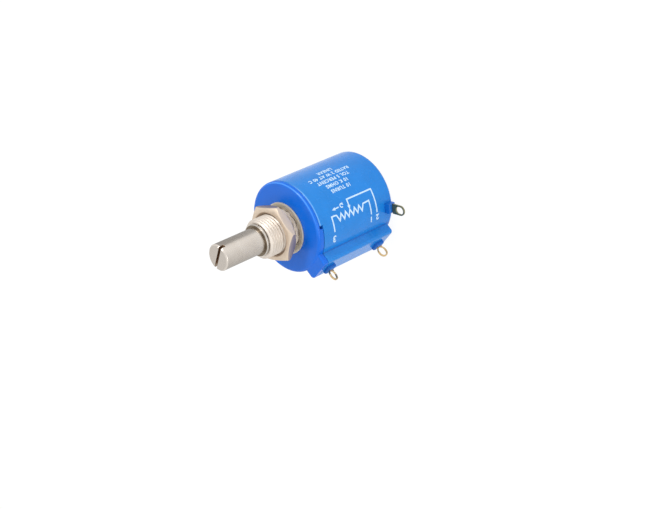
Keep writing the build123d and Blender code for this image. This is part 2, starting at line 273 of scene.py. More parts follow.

# %% [markdown]
# Shade is painted into the inner corners where the foot leaves the round wall, and onto the bosses around
# the lugs, which are painted darker. Both are painted by place as well. A corner is what lies close to a
# line along the shaft, and a boss is what stands out past the foot or past the round wall.

# %% Painted shade in the corners and on the bosses
foot_half_width, foot_root = 3.4 * MM, -10.58 * MM
crease_width = 0.2 * MM
foot_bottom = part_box("front_lid")[0].y
past_foot = 0.04 * MM
past_wall = 11.16 * MM
wiper_boss_side = 4 * MM


def painted_shade_corners(finish):
    """Paints shade into the inner corners of the foot and onto the bosses of the lugs."""
    tree = finish.tree
    across, along, height, reach = apart(tree, finish.place)
    from_side = sums(tree, "SUBTRACT", sums(tree, "ABSOLUTE", across), foot_half_width)
    from_root = sums(tree, "SUBTRACT", along, foot_root)
    crease_shade = sums(tree, "LESS_THAN", span(tree, from_side, from_root), crease_width)
    end_bosses = sums(tree, "LESS_THAN", along, foot_bottom - past_foot)
    outside = sums(tree, "GREATER_THAN", reach, past_wall)
    wiper_boss = product(tree, outside, sums(tree, "GREATER_THAN", across, wiper_boss_side))
    # Painted shade: the creases and the bosses are painted a darker blue.
    repaint(finish, crease_shade, (20, 106, 192))
    for boss in (end_bosses, wiper_boss):
        repaint(finish, boss, (16, 102, 190))


painted_shade_corners(housing_blue)
print(f"bosses darker below {(foot_bottom - past_foot) / MM:.2f} mm and past {past_wall / MM:.2f} mm")

# %% [markdown]
# Turned metal shows rings around its axis, from the tool that cut it. Noise that only reads the distance
# from the axis and the height is the same all the way round, which is just what a lathe leaves, on the
# outside and on the end faces alike.

# %% Turned metal
stain_patches, polish_patches = 2.2 * MM, 0.7 * MM
tool_mark_size, tool_mark_depth = 0.3 * MM, 0.012 * MM


def lathe_rings(tree, place, size):
    """Noise that is constant around Z: rings on a cylinder, circles on an end face."""
    x, y, z, reach = apart(tree, place)
    pair = add_node(tree, "ShaderNodeCombineXYZ", X=reach, Y=z)
    return grain(tree, pair.outputs["Vector"], size, detail=2)


def turned_metal(name, colour, stain, gloss, rings, metal=1.0):
    """Metal of two screen colours, with a roughness and the strength of its tool marks."""
    finish = new_finish(name, metal)
    tones = screen_colour(*colour), screen_colour(*stain)
    clouds = two_tone(finish.tree, uneven(finish, stain_patches), *tones)
    dress(finish, clouds, uneven(finish, polish_patches, gloss - 0.04, gloss + 0.06))
    ripple(finish, lathe_rings(finish.tree, finish.place, tool_mark_size), rings, tool_mark_depth)
    return finish


shaft_steel = turned_metal("shaft_steel", (220, 212, 203), (212, 203, 193), gloss=0.26, rings=0.03)
ring_steel = turned_metal("ring_steel", (218, 214, 208), (204, 198, 190), gloss=0.26, rings=0.15)
plated_brass = turned_metal("plated_brass", (228, 219, 209), (220, 210, 199), gloss=0.50, rings=0.06)
satin_nut = turned_metal("satin_nut", (223, 206, 186), (215, 197, 178), gloss=0.48, rings=0.06, metal=0.6)
turned_metal("thrust_steel", (190, 190, 188), (165, 165, 165), gloss=0.30, rings=0.3)
print("finishes:", ", ".join(finishes))

# %% [markdown]
# The screwdriver slot is sawn after the shaft is turned. Its walls are painted a darker brown as painted
# shade, for the shade inside the narrow slot, and the faced end is painted a little greyer. The slot is a
# thin slab through the tip, and a finish can find it from the coordinates: near the slab's middle plane
# and close to the tip there is nothing but slot. The front of the split ring is painted darker than its
# rim, also by place.

# %% Painted shade in the sawn slot, a greyer faced end and a darker front of the ring
slot_angle = radians(108.0)
slot_half_width, slot_depth = 0.375 * MM, 1.32 * MM
face_skin = 0.02 * MM
ring_rim_radius = 3.74 * MM
ring_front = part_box("retaining_ring")[1].z


def sawn_slot(finish):
    """One inside the slab that the saw takes out of the tip, else zero."""
    tree = finish.tree
    x, y, z, reach = apart(tree, finish.place)
    from_middle = sums(tree, "ABSOLUTE", towards(tree, x, y, slot_angle))
    near = sums(tree, "LESS_THAN", from_middle, slot_half_width)
    return product(tree, near, sums(tree, "GREATER_THAN", z, shaft_tip - slot_depth))


def front_face(finish, front, within):
    """One on a front face at that height, up to a distance from the axis, else zero."""
    x, y, z, reach = apart(finish.tree, finish.place)
    high = sums(finish.tree, "GREATER_THAN", z, front - face_skin)
    return product(finish.tree, high, sums(finish.tree, "LESS_THAN", reach, within))


repaint(shaft_steel, front_face(shaft_steel, shaft_tip, any_reach[1]), (196, 188, 179))
# Painted shade: the walls of the sawn slot are painted a darker brown.
repaint(shaft_steel, sawn_slot(shaft_steel), (176, 156, 136))
repaint(ring_steel, front_face(ring_steel, ring_front, ring_rim_radius), (122, 110, 94))
print(f"slot darkened down to {(shaft_tip - slot_depth) / MM:.2f} mm")

# %% [markdown]
# The nut's countersink is painted brown as painted shade, clearing towards the flat face around it. Two of
# its six flats are painted darker and a little violet, most of all towards the rear: a painted reflection
# of the blue lid, with painted shade. A flat is found as what lies furthest out in its own direction.

# %% Painted shade in the countersink and painted reflections on two flats of the nut
countersink_shade_full, countersink_shade_clear = 5.15 * MM, 5.65 * MM
nut_apothem = 6.35 * MM
shaded_reflecting_flats = (radians(52.5), radians(-67.5))
flat_shade_ends_past_front = 0.5


def flat_reflection_and_shade(finish, flat_angle):
    """A mask for painted reflection and shade on one flat of the nut, strongest at its rear, not gone at
    its front.
    """
    tree = finish.tree
    x, y, z, reach = apart(tree, finish.place)
    flat = sums(tree, "GREATER_THAN", towards(tree, x, y, flat_angle), nut_apothem - face_skin)
    clear = nut_front + flat_shade_ends_past_front * (nut_front - nut_rear)
    return product(tree, flat, fading(tree, z, nut_rear, clear))


from_axis = apart(satin_nut.tree, satin_nut.place)[3]
countersink_shade = fading(satin_nut.tree, from_axis, countersink_shade_full, countersink_shade_clear)
# Painted shade: the countersink is painted brown.
repaint(satin_nut, countersink_shade, (186, 165, 144))
# Painted reflection and shade: two flats are painted darker and violet.
for flat_angle in shaded_reflecting_flats:
    repaint(satin_nut, flat_reflection_and_shade(satin_nut, flat_angle), (122, 112, 130))
print("flats darkened:", len(shaded_reflecting_flats))

# %% [markdown]
# The lugs and the lock washer are stamped from sheet. Rolling leaves fine scratches along the sheet, and
# plating or handling leaves clouds of a second colour. One function makes all of the sheet metals.

# %% Stamped sheet metal
cloud_size = 1.1 * MM
scratch_size, scratch_depth, scratch_strength = 0.8 * MM, 0.01 * MM, 0.25
rolling_stretch = (1, 1, 14)


def stamped_sheet(name, colour, stain, gloss, metal=1.0):
    """Sheet of two screen colours, with a roughness that follows its scratches."""
    finish = new_finish(name, metal)
    tree = finish.tree
    clouds = two_tone(tree, uneven(finish, cloud_size), screen_colour(*colour), screen_colour(*stain))
    stretch = add_node(tree, "ShaderNodeMapping", Vector=finish.place, Scale=rolling_stretch)
    scratches = grain(tree, stretch.outputs["Vector"], scratch_size)
    dress(finish, clouds, between(tree, scratches, gloss - 0.06, gloss + 0.10))
    ripple(finish, scratches, scratch_strength, scratch_depth)
    return finish


stamped_sheet("lug_gold", (218, 192, 144), (202, 168, 118), gloss=0.30)
# lug_dark is painted shade: the lugs' gold sheet painted darker and greener, for the wiper lug in shade.
stamped_sheet("lug_dark", (150, 146, 112), (120, 116, 84), gloss=0.34)
washer_steel = stamped_sheet("washer_steel", (212, 203, 186), (200, 190, 168), gloss=0.48, metal=0.5)
stamped_sheet("contact_brass", (206, 172, 98), (184, 146, 78), gloss=0.28)
print("finishes:", ", ".join(finishes))

# %% [markdown]
# Inside the case, out of sight, a drum of dark plastic turns inside a coil of wire-wound mandrel. The
# winding is far too fine to model turn by turn: seven hundred turns of wire are drawn in each lap of the
# case. The turns stand across the mandrel, so the angle around the axis alone is enough to draw them.

# %% Rotor plastic and wound wire
moulded_plastic("rotor_plastic", (58, 56, 54), gloss=0.48, peel=0.2)
turns_per_lap = 700
wire_roughness, wire_bump, wire_depth = 0.35, 0.6, 0.02 * MM


def wound_wire(name, colour, gap_colour):
    finish = new_finish(name, metal=1.0)
    tree = finish.tree
    x, y, z, reach = apart(tree, finish.place)
    wave = sums(tree, "SINE", product(tree, sums(tree, "ARCTAN2", y, x), turns_per_lap))
    lift = fading(tree, wave, 1.0, -1.0)
    tones = two_tone(tree, lift, screen_colour(*gap_colour), screen_colour(*colour))
    dress(finish, tones, wire_roughness)
    ripple(finish, lift, wire_bump, wire_depth)


wound_wire("element_wire", (188, 170, 140), (92, 78, 60))
print("finishes:", ", ".join(finishes))

# %% [markdown]
# The ink on the case is a thin matt film, printed in pale blue-white. It is a little uneven, as if the
# pad that prints it pressed harder in some places than in others.

# %% Printing ink
ink_patches, ink_grain = 0.35 * MM, 0.2 * MM
ink_bump, ink_depth = 0.1, 0.01 * MM


def printing_ink(name, colour):
    finish = new_finish(name)
    colour = screen_colour(*colour)
    cover = uneven(finish, ink_patches)
    tones = two_tone(finish.tree, cover, shade(colour, 0.90), shade(colour, 1.03))
    dress(finish, tones, uneven(finish, ink_grain, 0.5, 0.68))
    ripple(finish, cover, ink_bump, ink_depth)
    return finish


pale_ink = printing_ink("pale_ink", (202, 230, 254))
print("finishes:", len(finishes))

# %% [markdown]
# Most CAD nodes already have the right shape, so they stay, and only take the finish that the record
# names. The ones that are replaced further down take it as well, which does no harm.

# %% Give every CAD node its finish
for subpart in frame["record"]["subparts"]:
    node = frame["nodes"][subpart["node"]]
    node.material_slots[0].material = finishes[subpart["material_slot"]].material

# %% [markdown]
# Edges of real metal are never knife sharp: a stamped or turned edge has a tiny round that catches the
# light. A CAD node's own mesh is left alone, so a copy is welded, its flat facets are joined, and its
# edges are bevelled. The copy then stands for the node.

# %% Helpers: a copy of a node with softened edges
weld_distance = 1e-7
flat_within = radians(0.2)
bevel_angle = radians(30)


def add_object(name, data):
    """A new object in the scene, at the origin."""
    thing = bpy.data.objects.new(name, data)
    bpy.context.scene.collection.objects.link(thing)
    return thing


def mesh_of(shape, name):
    """The mesh of a shape that was built face by face, which is then let go."""
    mesh = bpy.data.meshes.new(name)
    shape.to_mesh(mesh)
    shape.free()
    return mesh


def seen_mesh(work):
    """A new mesh of an object as it is seen, with its modifiers in it."""
    bpy.context.view_layer.update()
    return bpy.data.meshes.new_from_object(work.evaluated_get(bpy.context.evaluated_depsgraph_get()))


def plain_mesh(work, name):
    """A working object with its modifiers in it, as a new plain object."""
    mesh = seen_mesh(work)
    mesh.name = name
    bpy.data.objects.remove(work)
    return add_object(name, mesh)


def welded_copy(node, name):
    shape = bmesh.new()
    shape.from_mesh(frame["nodes"][node].data)
    bmesh.ops.remove_doubles(shape, verts=shape.verts, dist=weld_distance)
    bmesh.ops.dissolve_limit(shape, angle_limit=flat_within, verts=shape.verts, edges=shape.edges)
    return add_object(name + "_work", mesh_of(shape, name))


def soften_edges(work, width):
    bevel = work.modifiers.new("edge_round", "BEVEL")
    bevel.width = width
    bevel.segments = 2
    bevel.limit_method = "ANGLE"
    bevel.angle_limit = bevel_angle
    bevel.use_clamp_overlap = True
    for face in work.data.polygons:
        face.use_smooth = True
    even = work.modifiers.new("even_light", "WEIGHTED_NORMAL")
    even.keep_sharp = True


def soft_piece(node, name, width, finish_slot, body):
    """The node's shape with rounded edges, riding where the node rode and standing for it."""
    work = welded_copy(node, name)
    soften_edges(work, width)
    piece = plain_mesh(work, name)
    piece.data.materials.append(finishes[finish_slot].material)
    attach(piece, body)
    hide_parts(node)
    print(f"{name}: {len(piece.data.polygons)} faces")


# %% [markdown]
# The three solder lugs, the slotted shaft and the split ring in front of the bushing only need their
# edges rounded.

# %% Lugs, shaft and retaining ring
lug_round, shaft_round, ring_round = 0.05 * MM, 0.05 * MM, 0.06 * MM
soft_piece("terminal_1", "rear_end_lug", lug_round, "lug_gold", "case")
# The wiper lug takes lug_dark, the gold sheet painted darker as painted shade.
soft_piece("terminal_2", "wiper_lug", lug_round, "lug_dark", "case")
soft_piece("terminal_3", "front_end_lug", lug_round, "lug_gold", "case")
soft_piece("shaft", "slotted_shaft", shaft_round, "shaft_steel", "turning_shaft")
soft_piece("retaining_ring", "split_ring", ring_round, "ring_steel", "turning_shaft")

# %% [markdown]
# The bushing carries a 3/8-32 thread: 32 turns to the inch, so a pitch of 0.794 mm. It is made here as
# in a workshop. First a plain blank is turned, which is a section spun round the axis. Then the thread
# is cut by a Geometry Nodes tree, which works out for every point how far it lies along the helix and
# pulls it in to the thread's depth. The same tree cuts the thread inside the nut, where it pushes
# outwards from a smaller hole.

# %% Helpers: spin a section into a blank
blank_columns = 144


def on_circle(radius, height, part, parts):
    """One of some evenly spaced places on a circle around Z."""
    angle = 2 * pi * part / parts
    return radius * cos(angle), radius * sin(angle), height


def spun_blank(section, name):
    """A closed section of (radius, height) points, spun round Z."""
    rings = []
    shape = bmesh.new()
    for radius, height in section:
        places = [on_circle(radius, height, column, blank_columns) for column in range(blank_columns)]
        rings.append([shape.verts.new(place) for place in places])
    for index, ring in enumerate(rings):
        after = rings[(index + 1) % len(rings)]
        for column in range(blank_columns):
            beside = (column + 1) % blank_columns
            shape.faces.new((ring[column], ring[beside], after[beside], after[column]))
    bmesh.ops.recalc_face_normals(shape, faces=shape.faces)
    return add_object(name + "_work", mesh_of(shape, name))


def steps_between(start, end, step):
    """Heights from start to end, about a step apart."""
    count = max(1, round(abs(end - start) / step))
    return [start + (end - start) * index / count for index in range(count + 1)]


# %% [markdown]
# Every Geometry Nodes tree here begins with its named inputs, and ends by making its copies real and
# giving them their finish. Three helpers do that, and put a tree on a working object.


# %% Helpers for Geometry Nodes trees
def new_tree(name, result, **inputs):
    """An empty tree with inputs of the kinds that are given, and those inputs as they are read inside."""
    group = bpy.data.node_groups.new(name, "GeometryNodeTree")
    for title, kind in inputs.items():
        title = title.replace("_", " ")
        group.interface.new_socket(name=title, in_out="INPUT", socket_type="NodeSocket" + kind)
    group.interface.new_socket(name=result, in_out="OUTPUT", socket_type="NodeSocketGeometry")
    return group, add_node(group, "NodeGroupInput").outputs


def end_tree(group, given, shape):
    """Ends a tree with its shape as plain faces, in the finish that is given."""
    whole = add_node(group, "GeometryNodeRealizeInstances", Geometry=shape).outputs["Geometry"]
    coat = add_node(group, "GeometryNodeSetMaterial", Geometry=whole, Material=given["Finish"])
    feed(group, add_node(group, "NodeGroupOutput").inputs[0], coat.outputs["Geometry"])
    return group


def run_tree(work, group, **values):
    """Puts a tree on a working object, with its named inputs set by their identifiers."""
    modifier = work.modifiers.new(group.name, "NODES")
    modifier.node_group = group
    sockets = {item.name: item.identifier for item in group.interface.items_tree if item.in_out == "INPUT"}
    for name, value in values.items():
        modifier[sockets[name.replace("_", " ")]] = value


# %% [markdown]
# The thread tree. For a point at angle a and height z, the part of a turn z / pitch - a / 360 tells
# where it stands between two crests. Half way between them is the root. A flat crest and a flat root, as
# on a real thread, come from cutting the top and the bottom off that triangle.

# %% Geometry Nodes: cut a thread
crest_flat, flank_run = 0.14, 0.62


def thread_tree():
    group, given = new_tree(
        "cut_thread",
        "Threaded",
        Blank="Geometry",
        Crest_radius="Float",
        Pitch="Float",
        Depth="Float",
        From_height="Float",
        To_height="Float",
        Run_out="Float",
        Inside="Bool",
        Finish="Material",
    )
    x, y, z, radius = apart(group, add_node(group, "GeometryNodeInputPosition").outputs["Position"])
    turn = sums(group, "DIVIDE", sums(group, "ARCTAN2", y, x), 2 * pi)
    phase = sums(group, "FRACT", sums(group, "SUBTRACT", sums(group, "DIVIDE", z, given["Pitch"]), turn))
    from_crest = product(group, sums(group, "ABSOLUTE", sums(group, "SUBTRACT", phase, 0.5)), 2.0)
    groove = sums(group, "DIVIDE", sums(group, "SUBTRACT", from_crest, crest_flat), flank_run, clamp=True)
    past_start = sums(group, "SUBTRACT", z, given["From height"])
    before_end = sums(group, "SUBTRACT", given["To height"], z)
    rise = sums(group, "DIVIDE", past_start, given["Run out"], clamp=True)
    fall = sums(group, "DIVIDE", before_end, given["Run out"], clamp=True)
    cut = product(group, product(group, groove, given["Depth"]), product(group, rise, fall))
    wanted = sums(group, "SUBTRACT", given["Crest radius"], cut)
    inwards, outwards = (sums(group, way, radius, wanted) for way in ("MINIMUM", "MAXIMUM"))
    ways = {"Switch": given["Inside"], "False": inwards, "True": outwards}
    chosen = add_node(group, "GeometryNodeSwitch", {"input_type": "FLOAT"}, **ways)
    scale = sums(group, "DIVIDE", chosen.outputs["Output"], radius)
    spot = {"X": product(group, x, scale), "Y": product(group, y, scale), "Z": z}
    above = sums(group, "GREATER_THAN", z, given["From height"])
    below = sums(group, "LESS_THAN", z, given["To height"])
    moved = add_node(
        group,
        "GeometryNodeSetPosition",
        Geometry=given["Blank"],
        Selection=product(group, above, below),
        Position=add_node(group, "ShaderNodeCombineXYZ", **spot).outputs["Vector"],
    )
    return end_tree(group, given, moved.outputs["Geometry"])


cut_thread = thread_tree()
thread_pitch = 25.4 * MM / 32
thread_depth = 0.45 * thread_pitch
print(f"thread: pitch {thread_pitch / MM:.3f} mm, depth {thread_depth / MM:.3f} mm")

# %% [markdown]
# The bushing's section goes up the bore, across the front, down the chamfer and the thread, and out
# round the seat and the shoulder that hold it in the lid. Only the threaded length needs many rings.

# %% Threaded bushing
bushing_low, bushing_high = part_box("bushing")
bushing_back, bushing_front, bushing_shoulder = bushing_low.z, bushing_high.z, bushing_high.x
bushing_bore, bushing_seat = 3.205 * MM, 5.3 * MM
lid_back = -1.8 * MM
front_chamfer, bore_chamfer = 0.5 * MM, 0.12 * MM
thread_start, past_front, thread_run_out = 0.1 * MM, 1 * MM, 0.3 * MM
ring_step = thread_pitch / 14
sharp_angle = radians(35)

chamfer_low = bushing_front - front_chamfer
bore_heights = (bushing_back, lid_back, 0.0, bushing_front - bore_chamfer)
section = [(bushing_bore, height) for height in bore_heights]
section += [(bushing_bore + bore_chamfer, bushing_front), (thread_radius - front_chamfer, bushing_front)]
for height in steps_between(bushing_front, chamfer_low, ring_step)[1:]:
    section.append((thread_radius - (height - bushing_front + front_chamfer), height))
section += [(thread_radius, height) for height in steps_between(chamfer_low, 0.0, ring_step)[1:]]
section += [(bushing_seat, 0.0), (bushing_seat, lid_back)]
section += [(bushing_shoulder, lid_back), (bushing_shoulder, bushing_back)]
blank = spun_blank(section, "threaded_bushing")
run_tree(
    blank,
    cut_thread,
    Crest_radius=thread_radius,
    Pitch=thread_pitch,
    Depth=thread_depth,
    From_height=thread_start,
    To_height=bushing_front + past_front,
    Run_out=thread_run_out,
    Inside=False,
    Finish=plated_brass.material,
)
threaded_bushing = plain_mesh(blank, "threaded_bushing")
threaded_bushing.data.set_sharp_from_angle(angle=sharp_angle)
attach(threaded_bushing, "case")
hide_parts("bushing")
print(f"threaded_bushing: {len(threaded_bushing.data.polygons)} faces")

# %% [markdown]
# The nut keeps its CAD shape with softened edges. Its thread is a thin sleeve, cut by the same tree a
# few hundredths of a millimetre larger than the bushing's, and joined into the nut so that it stays one
# piece.

# %% Threaded nut
nut_round = 0.07 * MM
thread_play = 0.03 * MM
countersink = 0.6 * MM
sleeve_overlap, sleeve_wall = 0.04 * MM, 0.06 * MM
lead_in, sleeve_run_out = 0.3 * MM, 0.01 * MM
cut_margin = 0.9 * lead_in


def joined(name, *parts):
    """Several plain pieces as one."""
    shape = bmesh.new()
    for part in parts:
        shape.from_mesh(part.data)
        bpy.data.objects.remove(part)
    return add_object(name, mesh_of(shape, name))


nut_work = welded_copy("mounting_nut", "threaded_nut")
soften_edges(nut_work, nut_round)
nut_shell = plain_mesh(nut_work, "threaded_nut")
sleeve_low = nut_rear + countersink - sleeve_overlap
sleeve_high = nut_front - countersink + sleeve_overlap
sleeve_outer = thread_radius + sleeve_wall
sleeve_inner = thread_radius - thread_depth + thread_play
threaded_heights = steps_between(sleeve_high - lead_in, sleeve_low + lead_in, ring_step)
sleeve_section = [(thread_radius, sleeve_low), (sleeve_outer, sleeve_low)]
sleeve_section += [(sleeve_outer, sleeve_high), (thread_radius, sleeve_high)]
sleeve_section += [(sleeve_inner, height) for height in threaded_heights]
sleeve = spun_blank(sleeve_section, "nut_thread")
run_tree(
    sleeve,
    cut_thread,
    Crest_radius=thread_radius + thread_play,
    Pitch=thread_pitch,
    Depth=thread_depth,
    From_height=sleeve_low + cut_margin,
    To_height=sleeve_high - cut_margin,
    Run_out=sleeve_run_out,
    Inside=True,
    Finish=satin_nut.material,
)
nut_thread = plain_mesh(sleeve, "nut_thread")
threaded_nut = joined("hexagon_nut", nut_shell, nut_thread)
threaded_nut.data.materials.append(satin_nut.material)
threaded_nut.data.set_sharp_from_angle(angle=sharp_angle)
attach(threaded_nut, "case")
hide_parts("mounting_nut")
print(f"hexagon_nut: {len(threaded_nut.data.polygons)} faces")

# %% [markdown]
# The lock washer is a flat ring with twelve teeth that point inwards. Each tooth is twisted a little, so
# that its edges bite into the nut and the panel. One tooth and twelve points around the axis are enough
# for a Geometry Nodes tree to make them all.

# %% Geometry Nodes: a toothed washer
rim_steps, edge_round_steps = 120, 3
tooth_rows, tooth_columns = 5, 3


def washer_tree():
    group, given = new_tree(
        "toothed_washer",
        "Washer",
        Base="Geometry",
        Outer_radius="Float",
        Rim_inner_radius="Float",
        Tooth_tip_radius="Float",
        Tooth_width="Float",
        Sheet="Float",
        Edge_round="Float",
        Middle_height="Float",
        Teeth="Int",
        Twist="Float",
        Finish="Material",
    )
    outer, inner, tip = given["Outer radius"], given["Rim inner radius"], given["Tooth tip radius"]
    middle = product(group, sums(group, "ADD", outer, inner), 0.5)
    path = add_node(group, "GeometryNodeCurvePrimitiveCircle", Resolution=rim_steps, Radius=middle)
    sides = {"Width": sums(group, "SUBTRACT", outer, inner), "Height": given["Sheet"]}
    profile = add_node(group, "GeometryNodeCurvePrimitiveQuadrilateral", **sides).outputs["Curve"]
    fillet = {"Curve": profile, "Count": edge_round_steps, "Radius": given["Edge round"]}
    rounded = add_node(group, "GeometryNodeFilletCurve", {"mode": "POLY"}, **fillet).outputs["Curve"]
    rim = add_node(group, "GeometryNodeCurveToMesh", Curve=path.outputs["Curve"], Profile_Curve=rounded)

    length = sums(group, "SUBTRACT", middle, tip)
    size = add_node(group, "ShaderNodeCombineXYZ", X=length, Y=given["Tooth width"], Z=given["Sheet"])
    grid = {"Vertices X": tooth_rows, "Vertices Y": tooth_columns}
    tooth = add_node(group, "GeometryNodeMeshCube", Size=size.outputs["Vector"], **grid)
    place = add_node(group, "GeometryNodeInputPosition").outputs["Position"]
    x, y, z, reach = apart(group, place)
    from_root = sums(group, "SUBTRACT", 0.5, sums(group, "DIVIDE", x, length))
    lean = product(group, from_root, given["Twist"])
    around_x = {"rotation_type": "X_AXIS"}
    twisted = add_node(group, "ShaderNodeVectorRotate", around_x, Vector=place, Angle=lean)
    tooth_middle = product(group, sums(group, "ADD", middle, tip), 0.5)
    bent = add_node(
        group,
        "GeometryNodeSetPosition",
        Geometry=tooth.outputs["Mesh"],
        Position=twisted.outputs["Vector"],
        Offset=add_node(group, "ShaderNodeCombineXYZ", X=tooth_middle).outputs["Vector"],
    )

    number = add_node(group, "GeometryNodeInputIndex").outputs["Index"]
    turn = sums(group, "DIVIDE", product(group, number, 2 * pi), given["Teeth"])
    copies = add_node(
        group,
        "GeometryNodeInstanceOnPoints",
        Points=add_node(group, "GeometryNodePoints", Count=given["Teeth"]).outputs["Points"],
        Instance=bent.outputs["Geometry"],
        Rotation=add_node(group, "ShaderNodeCombineXYZ", Z=turn).outputs["Vector"],
    )
    whole = add_node(group, "GeometryNodeJoinGeometry", Geometry=copies.outputs["Instances"])
    feed(group, whole.inputs["Geometry"], rim.outputs["Mesh"])
    lift = add_node(group, "ShaderNodeCombineXYZ", Z=given["Middle height"]).outputs["Vector"]
    raised = add_node(group, "GeometryNodeTransform", Geometry=whole.outputs["Geometry"], Translation=lift)
    return end_tree(group, given, raised.outputs["Geometry"])


washer_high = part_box("lock_washer")[1]
washer_work = add_object("washer_work", bpy.data.meshes.new("washer_base"))
run_tree(
    washer_work,
    washer_tree(),
    Outer_radius=washer_high.x,
    Rim_inner_radius=washer_high.x - 1.05 * MM,
    Tooth_tip_radius=5.04 * MM,
    Tooth_width=1.3 * MM,
    Sheet=0.42 * MM,
    Edge_round=0.09 * MM,
    Middle_height=washer_high.z / 2,
    Teeth=12,
    Twist=radians(6),
    Finish=washer_steel.material,
)
toothed_washer = plain_mesh(washer_work, "toothed_washer")
toothed_washer.data.set_sharp_from_angle(angle=sharp_angle)
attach(toothed_washer, "case")
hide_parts("lock_washer")
print("toothed_washer:", len(toothed_washer.data.polygons), "faces")

# %% [markdown]
# The print on the case is a circuit sketch: a zigzag for the element between lugs 3 and 1, an arrow for
# the wiper of lug 2, and a turn sign with an arrow for the way that the wiper goes. It is drawn flat
# first, on a sheet that is as long as the case, and a Geometry Nodes tree then rolls the sheet onto the
# case. On the sheet, X is the height along the shaft and Y counts back around the case, so that the
# letters stand with their heads towards the foot.

# %% Helpers: draw strokes flat
stroke_step = 0.4 * MM
sharpest_mitre = 0.45


def on_sheet(height, arc):
    """A place on the sheet, from a height along the shaft and a way around the case in millimetres."""
    return Vector((height, -arc)) * MM


def divided(points, longest):
    """The same path with more points, none of them further apart than the longest step."""
    path = [points[0]]
    for start, end in zip(points, points[1:]):
        count = ceil((end - start).length / longest)
        path += [start.lerp(end, (step + 1) / count) for step in range(count)]
    return path


def stroke(shape, points, width):
    """A line of even width through points, with mitred corners, as faces on the sheet."""
    spots = divided([on_sheet(*point) for point in points], stroke_step)
    left, right = [], []
    for index, spot in enumerate(spots):
        ways = []
        if index > 0:
            ways.append((spot - spots[index - 1]).normalized())
        if index < len(spots) - 1:
            ways.append((spots[index + 1] - spot).normalized())
        way = sum(ways, Vector((0, 0))).normalized()
        side = Vector((-way.y, way.x))
        stretch = 1 / max(sharpest_mitre, abs(way.dot(ways[0])))
        left.append(shape.verts.new((*(spot + side * width / 2 * stretch), 0)))
        right.append(shape.verts.new((*(spot - side * width / 2 * stretch), 0)))
    for index in range(len(spots) - 1):
        shape.faces.new((right[index], right[index + 1], left[index + 1], left[index]))


def arrow_head(shape, tip, back, width):
    """A filled triangle from the middle of its back to its tip."""
    tip, back = on_sheet(*tip), on_sheet(*back)
    way = (tip - back).normalized()
    side = Vector((-way.y, way.x)) * width / 2
    shape.faces.new([shape.verts.new((*spot, 0)) for spot in (tip, back + side, back - side)])


# %% [markdown]
# The sketch itself. Each place is a pair of millimetres: the height along the shaft, and the way around
# the case from the middle of the foot.

# %% Draw the circuit sketch
ink_width = 0.36 * MM
sign_width, pointer_width = ink_width * 0.7, ink_width * 0.8
zigzag_start, zigzag_step, zigzag_corners = -6.54, -0.731, 13
zigzag_arcs = (11.5, 10.0)
front_lead = [(-5.18, 7.95), (-5.0, 11.6), (-6.0, 11.6)]
rear_lead = [(-17.27, 11.6), (-17.36, 8.1)]
wiper_lead = [(-11.0, 12.2), (-11.05, 13.95), (-19.05, 13.9), (-19.3, 8.0)]
pointer = [(-7.95, 13.05), (-6.6, 13.0)]
sign_height, sign_arc, sign_radius = -8.95, 13.15, 0.45
sign_turns = [radians(130 - 20 * step) for step in range(14)]

sketch = bmesh.new()
zigzag = [(zigzag_start + zigzag_step * count, zigzag_arcs[count % 2]) for count in range(zigzag_corners)]
stroke(sketch, front_lead + zigzag + rear_lead, ink_width)
stroke(sketch, wiper_lead, ink_width)
arrow_head(sketch, (-11.0, 11.5), (-11.0, 12.5), 0.95 * MM)
sign = [(sign_height + sign_radius * cos(turn), sign_arc - sign_radius * sin(turn)) for turn in sign_turns]
stroke(sketch, sign, sign_width)
arrow_head(sketch, (-9.5, 13.1), (-9.15, 13.6), 0.7 * MM)
stroke(sketch, pointer, pointer_width)
arrow_head(sketch, (-5.79, 12.95), (-6.8, 13.02), 0.8 * MM)
print("sketch:", len(sketch.faces), "flat faces")

# %% [markdown]
# Numbers and words come from Blender's own font. Each is made a flat mesh first, then moved to its place
# on the sheet. The words are plain values that any such part could carry.

# %% Set the words flat
letter_spacing, letter_curve_steps = 1.12, 4
number_swell, row_swell = 0.08, 0.04
lug_numbers = {"3": (-5.05, 6.25, 2.3), "1": (-17.3, 6.9, 1.9), "2": (-19.4, 6.85, 2.0)}
rows = ("10 TURNS", "10 K OHMS", "TOL 5 PERCENT", "RATED 2 W AT 40 C", "LINEAR")
row_height, first_row_arc, row_step, row_size = -11.4, 17.0, 1.5, 1.28


def words(shape, text, height, arc, size, swell):
    """Adds a word to the sheet, centred on a place, with its letters swollen. All in millimetres."""
    curve = bpy.data.curves.new("word", "FONT")
    curve.body = text
    curve.size = size * MM
    curve.align_x = "CENTER"
    curve.align_y = "CENTER"
    curve.offset = swell * MM
    curve.space_character = letter_spacing
    curve.resolution_u = letter_curve_steps
    holder = add_object("word", curve)
    flat = seen_mesh(holder)
    flat.transform(Matrix.Translation((height * MM, -arc * MM, 0)))
    shape.from_mesh(flat)
    bpy.data.objects.remove(holder)
    bpy.data.meshes.remove(flat)


for number, (height, arc, size) in lug_numbers.items():
    words(sketch, number, height, arc, size, number_swell)
for count, row in enumerate(rows):
    words(sketch, row, row_height, first_row_arc + row_step * count, row_size, row_swell)
print("with words:", len(sketch.faces), "flat faces")

# %% [markdown]
# Rolling the sheet: a point's Y becomes an angle, its height above the sheet is added to the case's
# radius, and X stays the height along the shaft. The faces are divided first, so that they can bend.
# Before it is rolled, the sheet gets the thickness of the ink, two thirds of it above the case and one
# third in it.

# %% Geometry Nodes: roll a sheet onto the case
ink_thickness, ink_offset = 0.03 * MM, 0.33
bend_divisions = 2


